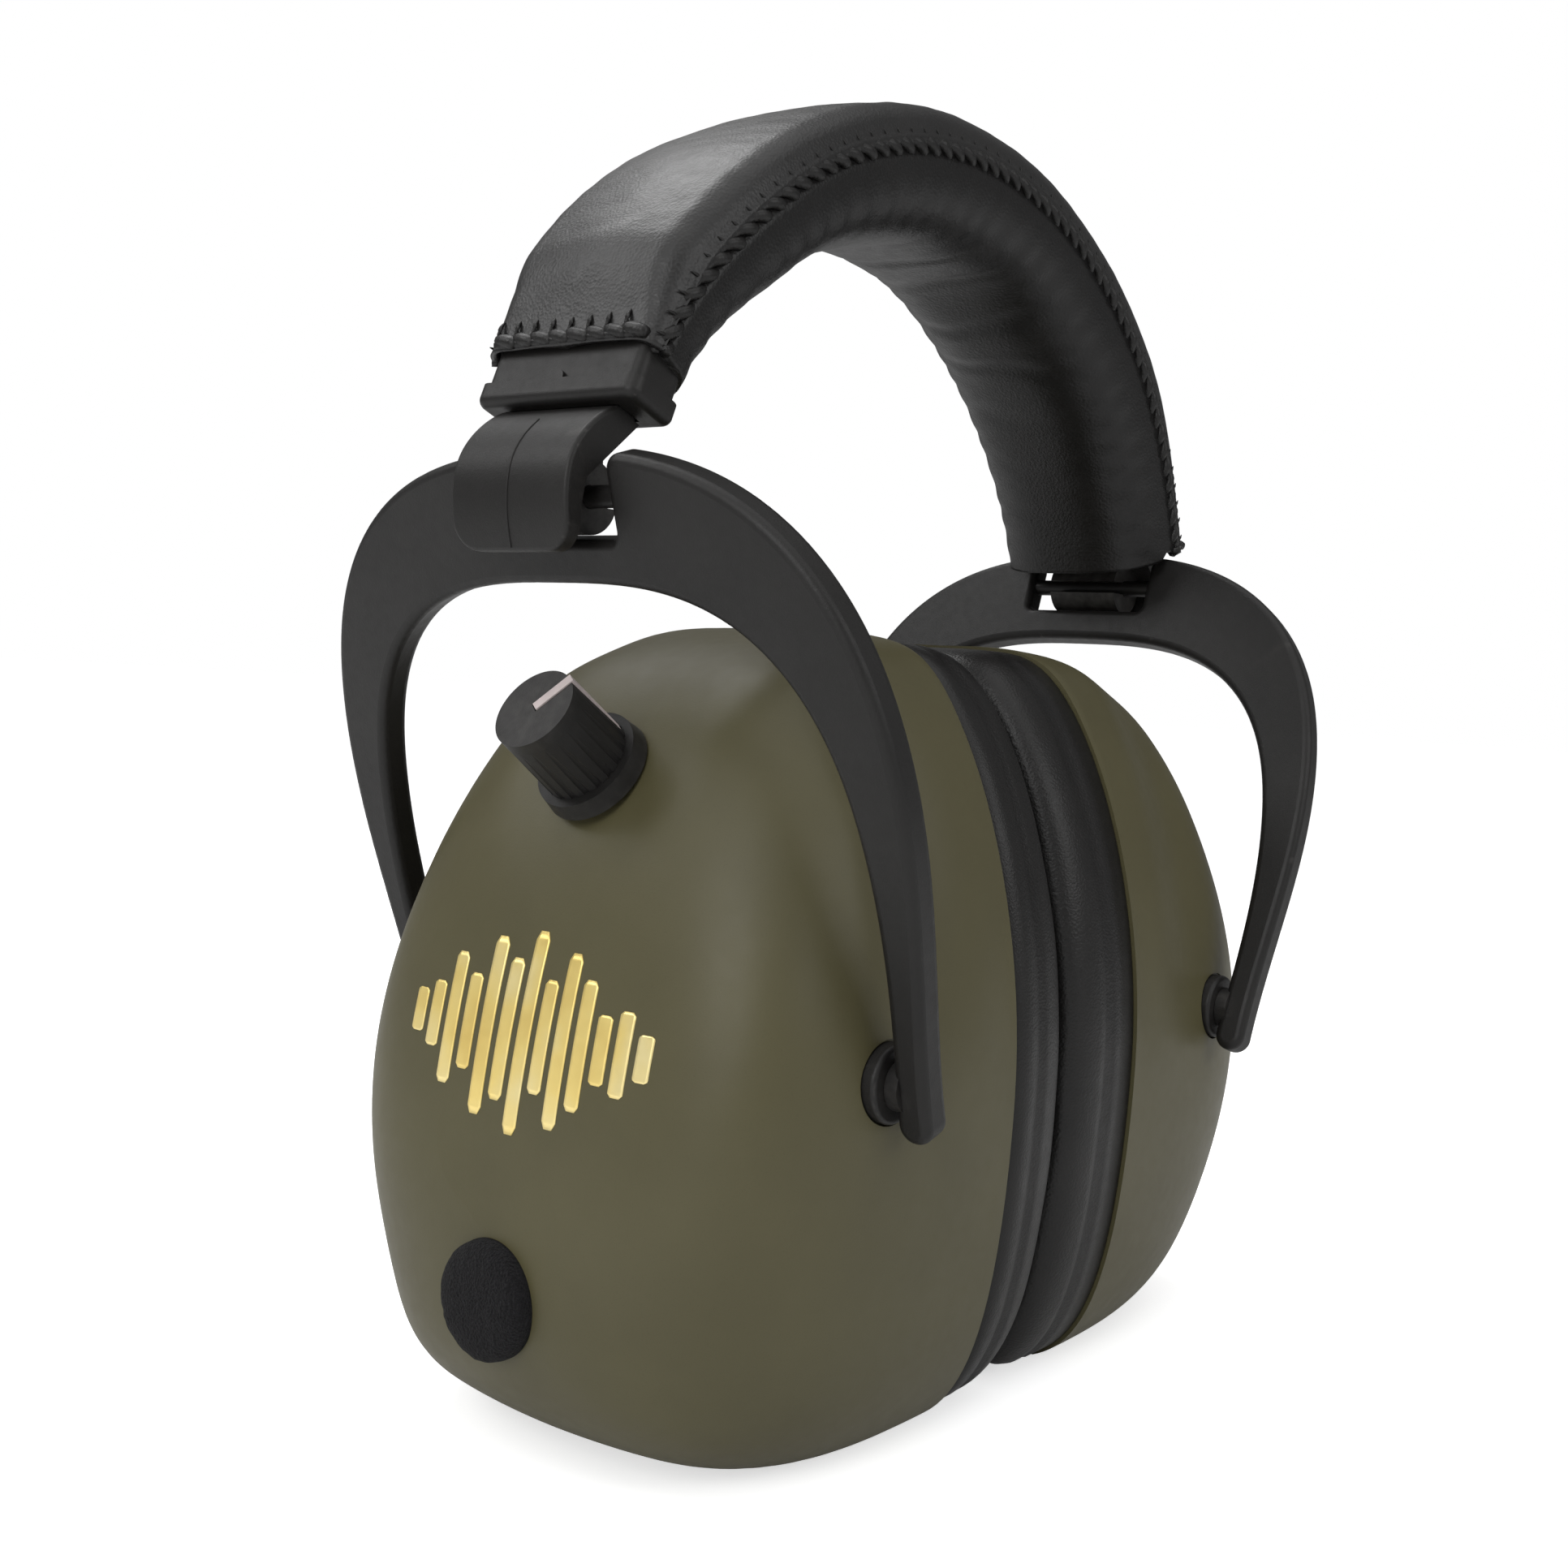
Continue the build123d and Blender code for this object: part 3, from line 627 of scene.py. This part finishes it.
def rim_reach(angle):
    """Distance from the crown of the cup's face to its outline, in millimetres."""
    low, high = 0.0, 120.0
    while high - low > 1e-3:
        middle = (low + high) / 2
        y = middle * cos(angle)
        z = MIDDLE_Z + middle * sin(angle)
        corner = 7.0 if z > 58.0 else 6.0
        rise = abs(z - 58.0) / (CUP_TOP - 58.0 if z > 58.0 else 60.0)
        inside = (abs(y) / max(side_width(z), 1.0)) ** corner + rise ** corner <= 1.0
        low, high = (middle, high) if inside else (low, middle)
    return low


RIM_ANGLES = [2 * pi * k / 220 for k in range(220)]
RIM_REACH = [rim_reach(angle) for angle in RIM_ANGLES]


def cushion_section():
    """Loop of one ring section: share of the way from outer to inner edge, and depth."""
    loop = []
    for k in range(44):
        a = pi * k / 43
        way = 1 if cos(a) >= 0 else -1
        across = 0.5 - 0.5 * way * abs(cos(a)) ** 0.36
        rise = sin(a) ** 0.40
        loop.append((across, rise))
    return loop


def make_cushion(side, way):
    """Leather ring cushion round one ear opening."""
    box_low, box_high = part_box("ear_cushion_" + side)
    base = max(abs(box_low[0]), abs(box_high[0]))
    front = min(abs(box_low[0]), abs(box_high[0]))
    thick = (base - front) / MM
    section = cushion_section()
    verts = []
    for angle, reach in zip(RIM_ANGLES, RIM_REACH):
        reach -= CUSHION_INSET
        outer = Vector((0, reach * cos(angle), MIDDLE_Z + reach * sin(angle)))
        outer.z = max(outer.z, CUSHION_LIFT)
        inner = Vector((0, EAR_HALF_Y * cos(angle), EAR_Z + EAR_HALF_Z * sin(angle)))
        for across, rise in section:
            p = outer.lerp(inner, across)
            seed = Vector((cos(angle) * 2.2, sin(angle) * 2.2, across * 3.0))
            waver = 0.35 * noise.noise(seed * 1.6)
            inner_edge = smoothstep(0.72, 0.93, across) * smoothstep(0.2, 0.9, rise)
            gather = 0.16 * sin(angle * 46) * inner_edge
            depth = rise * (thick * (1 - 0.012 * across) + waver + gather)
            # a shallow crease where the skin is welded round the outer edge
            crease = exp(-((rise - 0.46) / 0.05) ** 2) * (1 - smoothstep(0.0, 0.12, across))
            p = p.lerp(inner, 0.0225 * crease)
            x = base / MM - min(depth, thick)
            verts.append(Vector((way * x, p.y, p.z)) * MM)
    faces = grid_faces(len(RIM_ANGLES), len(section), wrap_rows=True, wrap_cols=True)
    piece = add_piece("cushion_" + side, verts, faces, CUSHION_LEATHER)
    face_outwards(piece)
    dress(piece, "cup_" + side, "ear_cushion_" + side)
    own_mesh(piece)


def make_liner(side, way):
    """Egg-crate foam behind the ear opening."""
    low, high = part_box("foam_liner_" + side)
    near = min(abs(low[0]), abs(high[0]))
    far = max(abs(low[0]), abs(high[0]))
    middle = (low[2] + high[2]) / 2
    half_y = (high[1] - low[1]) / 2 - 0.0003
    half_z = (high[2] - low[2]) / 2 - 0.0003
    rings, spokes = 46, 120
    verts = []
    for i in range(rings):
        size = (i + 1) / rings
        for j in range(spokes):
            turn = 2 * pi * j / spokes
            y = half_y * size * cos(turn)
            z = half_z * size * sin(turn)
            crate = 1.1 * MM * sin(y * 720) * sin(z * 720) * (1 - smoothstep(0.86, 1.0, size))
            verts.append(Vector((way * (near + 1.2 * MM + crate), y, middle + z)))
    turns = [2 * pi * j / spokes for j in range(spokes)]
    back = [Vector((way * far, half_y * cos(a), middle + half_z * sin(a))) for a in turns]
    centre = Vector((way * (near + 1.2 * MM), 0, middle))
    faces = thick_disc(verts, rings, spokes, centre, back)
    piece = add_piece("liner_" + side, verts, faces, LINER_FOAM)
    face_outwards(piece)
    dress(piece, "cup_" + side, "foam_liner_" + side)


def make_windscreen(side, way):
    """Domed felt-covered foam disc over the microphone."""
    low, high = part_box("windscreen_" + side)
    back = min(abs(low[0]), abs(high[0]))
    top = max(abs(low[0]), abs(high[0]))
    radius = (high[2] - low[2]) / 2
    middle = (low[2] + high[2]) / 2
    rings, spokes = 60, 150
    verts = []
    for i in range(rings):
        size = (i + 1) / rings
        for j in range(spokes):
            turn = 2 * pi * j / spokes
            fuzz = noise.noise(Vector((size * 26 * cos(turn), size * 26 * sin(turn), way * 3.0)))
            lump = noise.noise(Vector((size * 5 * cos(turn), size * 5 * sin(turn), way * 9.0)))
            reach = radius * size * (1 + 0.012 * lump * size)
            rise = (1 - size ** 4) ** 0.5 if size < 1 else 0.0
            x = back + (top - back) * (0.30 + 0.66 * rise) + (0.10 * fuzz + 0.10 * lump) * MM
            verts.append(Vector((way * x, reach * cos(turn), middle + reach * sin(turn))))
    turns = [2 * pi * j / spokes for j in range(spokes)]
    foot = [Vector((way * back, radius * cos(a), middle + radius * sin(a))) for a in turns]
    centre = Vector((way * (back + (top - back) * 0.96), 0, middle))
    faces = thick_disc(verts, rings, spokes, centre, foot)
    piece = add_piece("windscreen_felt_" + side, verts, faces, FELT)
    face_outwards(piece)
    dress(piece, "cup_" + side, "windscreen_" + side)


# ---------------------------------------------------------------- emblem and mould line
BAR_HEIGHTS = (6.0, 11.0, 9.0, 17.0, 23.0, 15.0, 27.0, 19.0, 24.0, 13.0, 18.0, 9.0, 6.0)
BAR_PITCH = 3.6
BAR_WIDTH = 2.5
EMBLEM_Z = 60.5


def make_emblem(side, way):
    """A row of gold foil level bars laid on the cup's face."""
    surface = surface_of("cup_shell_" + side)
    verts, faces = [], []
    foil = 0.10 * MM
    corner = 0.55
    half = BAR_WIDTH / 2
    inwards = Vector((-way, 0, 0))
    for index, height in enumerate(BAR_HEIGHTS):
        mid_y = (index - (len(BAR_HEIGHTS) - 1) / 2) * BAR_PITCH
        rows, cols = 24, 7
        start = len(verts)
        skirt = []
        for i in range(rows):
            v = 2 * i / (rows - 1) - 1
            z = EMBLEM_Z + v * height / 2
            from_end = height / 2 - abs(v) * height / 2
            narrow = 1.0
            if from_end < corner:
                curve = (corner ** 2 - (corner - from_end) ** 2) ** 0.5
                narrow = (half - corner + curve) / half
            for j in range(cols):
                y = mid_y + (2 * j / (cols - 1) - 1) * narrow * half
                start_ray = Vector((way * 120, y, z)) * MM
                hit, normal, _, _ = surface.ray_cast(start_ray, inwards)
                if normal.x * way < 0:
                    normal = -normal
                verts.append(hit + normal * foil)
                skirt.append(hit - normal * foil)
        faces += grid_faces(rows, cols, start=start)
        under = len(verts)
        verts += skirt
        faces += grid_faces(rows, cols, start=under, flip=True)
        edge = [j for j in range(cols)] + [i * cols + cols - 1 for i in range(1, rows)]
        edge += [(rows - 1) * cols + j for j in reversed(range(cols - 1))]
        edge += [i * cols for i in reversed(range(1, rows - 1))]
        for k, a in enumerate(edge):
            b = edge[(k + 1) % len(edge)]
            faces.append((start + a, under + a, under + b, start + b))
    piece = add_piece("emblem_" + side, verts, faces, GOLD)
    face_outwards(piece)
    dress(piece, "cup_" + side)


def make_mould_line(side, way):
    """Thin raised parting line down the middle of the slider's lobe."""
    surface = surface_of("slider_" + side)
    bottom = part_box("slider_" + side)[0][2] + 0.4 * MM
    length = 17.0 * MM
    points = []
    for k in range(40):
        z = bottom + length * k / 39
        hit = surface.ray_cast(Vector((way * 0.12, 0.0, z)), Vector((-way, 0, 0)))[0]
        if hit:
            points.append(hit)
    verts, faces = [], []
    add_tube(verts, faces, points, [0.16 * MM] * len(points))
    piece = add_piece("mould_line_" + side, verts, faces, BLACK)
    dress(piece, "slider_" + side)


# ---------------------------------------------------------------- camera, floor and light
def make_camera():
    """A camera a little above the floor, looking at the left cup's face and front."""
    azimuth, elevation, roll = radians(-53.47), radians(3.40), radians(3.40)
    distance = 0.2966
    target = Vector((0, 0, 0.0909))
    right = Vector((cos(azimuth), sin(azimuth), 0))
    back = Vector((sin(azimuth) * cos(elevation), -cos(azimuth) * cos(elevation), sin(elevation)))
    up = back.cross(right)
    rolled_right = right * cos(roll) + up * sin(roll)
    rolled_up = up * cos(roll) - right * sin(roll)
    place = target + back * distance
    camera = bpy.data.objects.new("camera", bpy.data.cameras.new("camera"))
    camera.matrix_world = Matrix(
        (
            (rolled_right.x, rolled_up.x, back.x, place.x),
            (rolled_right.y, rolled_up.y, back.y, place.y),
            (rolled_right.z, rolled_up.z, back.z, place.z),
            (0, 0, 0, 1),
        )
    )
    camera.data.sensor_width = 36.0
    camera.data.lens = 41.11
    camera.data.shift_x = -0.0497
    camera.data.shift_y = 0.0104
    camera.data.clip_start = 0.01
    bpy.context.scene.collection.objects.link(camera)
    bpy.context.scene.camera = camera


def make_floor():
    """A plain pale floor that shows near white, with the soft contact shadow left on it."""
    n = Nodes("pale_floor")
    shade = n.ramp(n.noise(4, 2), [(0.0, (0.84, 0.84, 0.84)), (1.0, (0.88, 0.88, 0.88))])
    seen = n.span(n.add("ShaderNodeLightPath").outputs["Is Camera Ray"], 0.0, 0.62)
    n.link(seen, n.shader.inputs["Emission Strength"])
    n.finish(shade, Roughness=0.8, Specular_IOR_Level=0.1, Emission_Color=(1, 1, 1, 1))
    size = 12.0
    verts = [(-size, -size, 0), (size, -size, 0), (size, size, 0), (-size, size, 0)]
    floor = add_piece("floor", verts, [(0, 1, 2, 3)], n.material)


def add_light(name, place, aim, size, power):
    """Rectangular soft box that points at the aim."""
    data = bpy.data.lights.new(name, "AREA")
    data.shape = "RECTANGLE"
    data.size = size[0]
    data.size_y = size[1]
    data.energy = power
    light = bpy.data.objects.new(name, data)
    light.location = place
    light.rotation_euler = (Vector(aim) - Vector(place)).to_track_quat("-Z", "Y").to_euler()
    bpy.context.scene.collection.objects.link(light)


def make_lights():
    """Soft boxes from behind, the left and the front, a wide overhead light and a pale world."""
    aim = (0, 0, 0.12)
    add_light("top_box", (0.05, 0.50, 0.95), aim, (0.50, 0.40), 2.6)
    add_light("back_left_box", (-0.60, 0.62, 0.75), aim, (0.55, 0.45), 2.6)
    add_light("left_box", (-0.95, -0.20, 0.55), aim, (0.6, 0.5), 4.2)
    add_light("front_box", (0.10, -0.95, 0.55), aim, (0.8, 0.4), 2.4)
    sun_data = bpy.data.lights.new("overhead", "SUN")
    sun_data.energy = 1.1
    sun_data.angle = radians(70)
    sun = bpy.data.objects.new("overhead", sun_data)
    sun.rotation_euler = (radians(12), radians(-8), 0)
    bpy.context.scene.collection.objects.link(sun)
    world = bpy.data.worlds.new("studio")
    world.use_nodes = True
    tree = world.node_tree
    background = tree.nodes["Background"]
    background.inputs["Color"].default_value = (1, 1, 1, 1)
    ray = tree.nodes.new("ShaderNodeLightPath")
    level = tree.nodes.new("ShaderNodeMapRange")
    level.inputs["To Min"].default_value = 0.20
    level.inputs["To Max"].default_value = 1.0
    tree.links.new(ray.outputs["Is Camera Ray"], level.inputs["Value"])
    tree.links.new(level.outputs["Result"], background.inputs["Strength"])
    bpy.context.scene.world = world
    bpy.context.scene.view_settings.view_transform = "Standard"


# ---------------------------------------------------------------- put it together
make_camera()
make_floor()
make_lights()
dress_cad_nodes()

dress(make_cover(), "headband", "headband_cover")
dress(make_pad(), "headband", "headband_pad")
dress(make_lacing(), "headband")

for side, way in SIDES:
    make_cushion(side, way)
    make_liner(side, way)
    make_windscreen(side, way)
    make_emblem(side, way)
    make_mould_line(side, way)
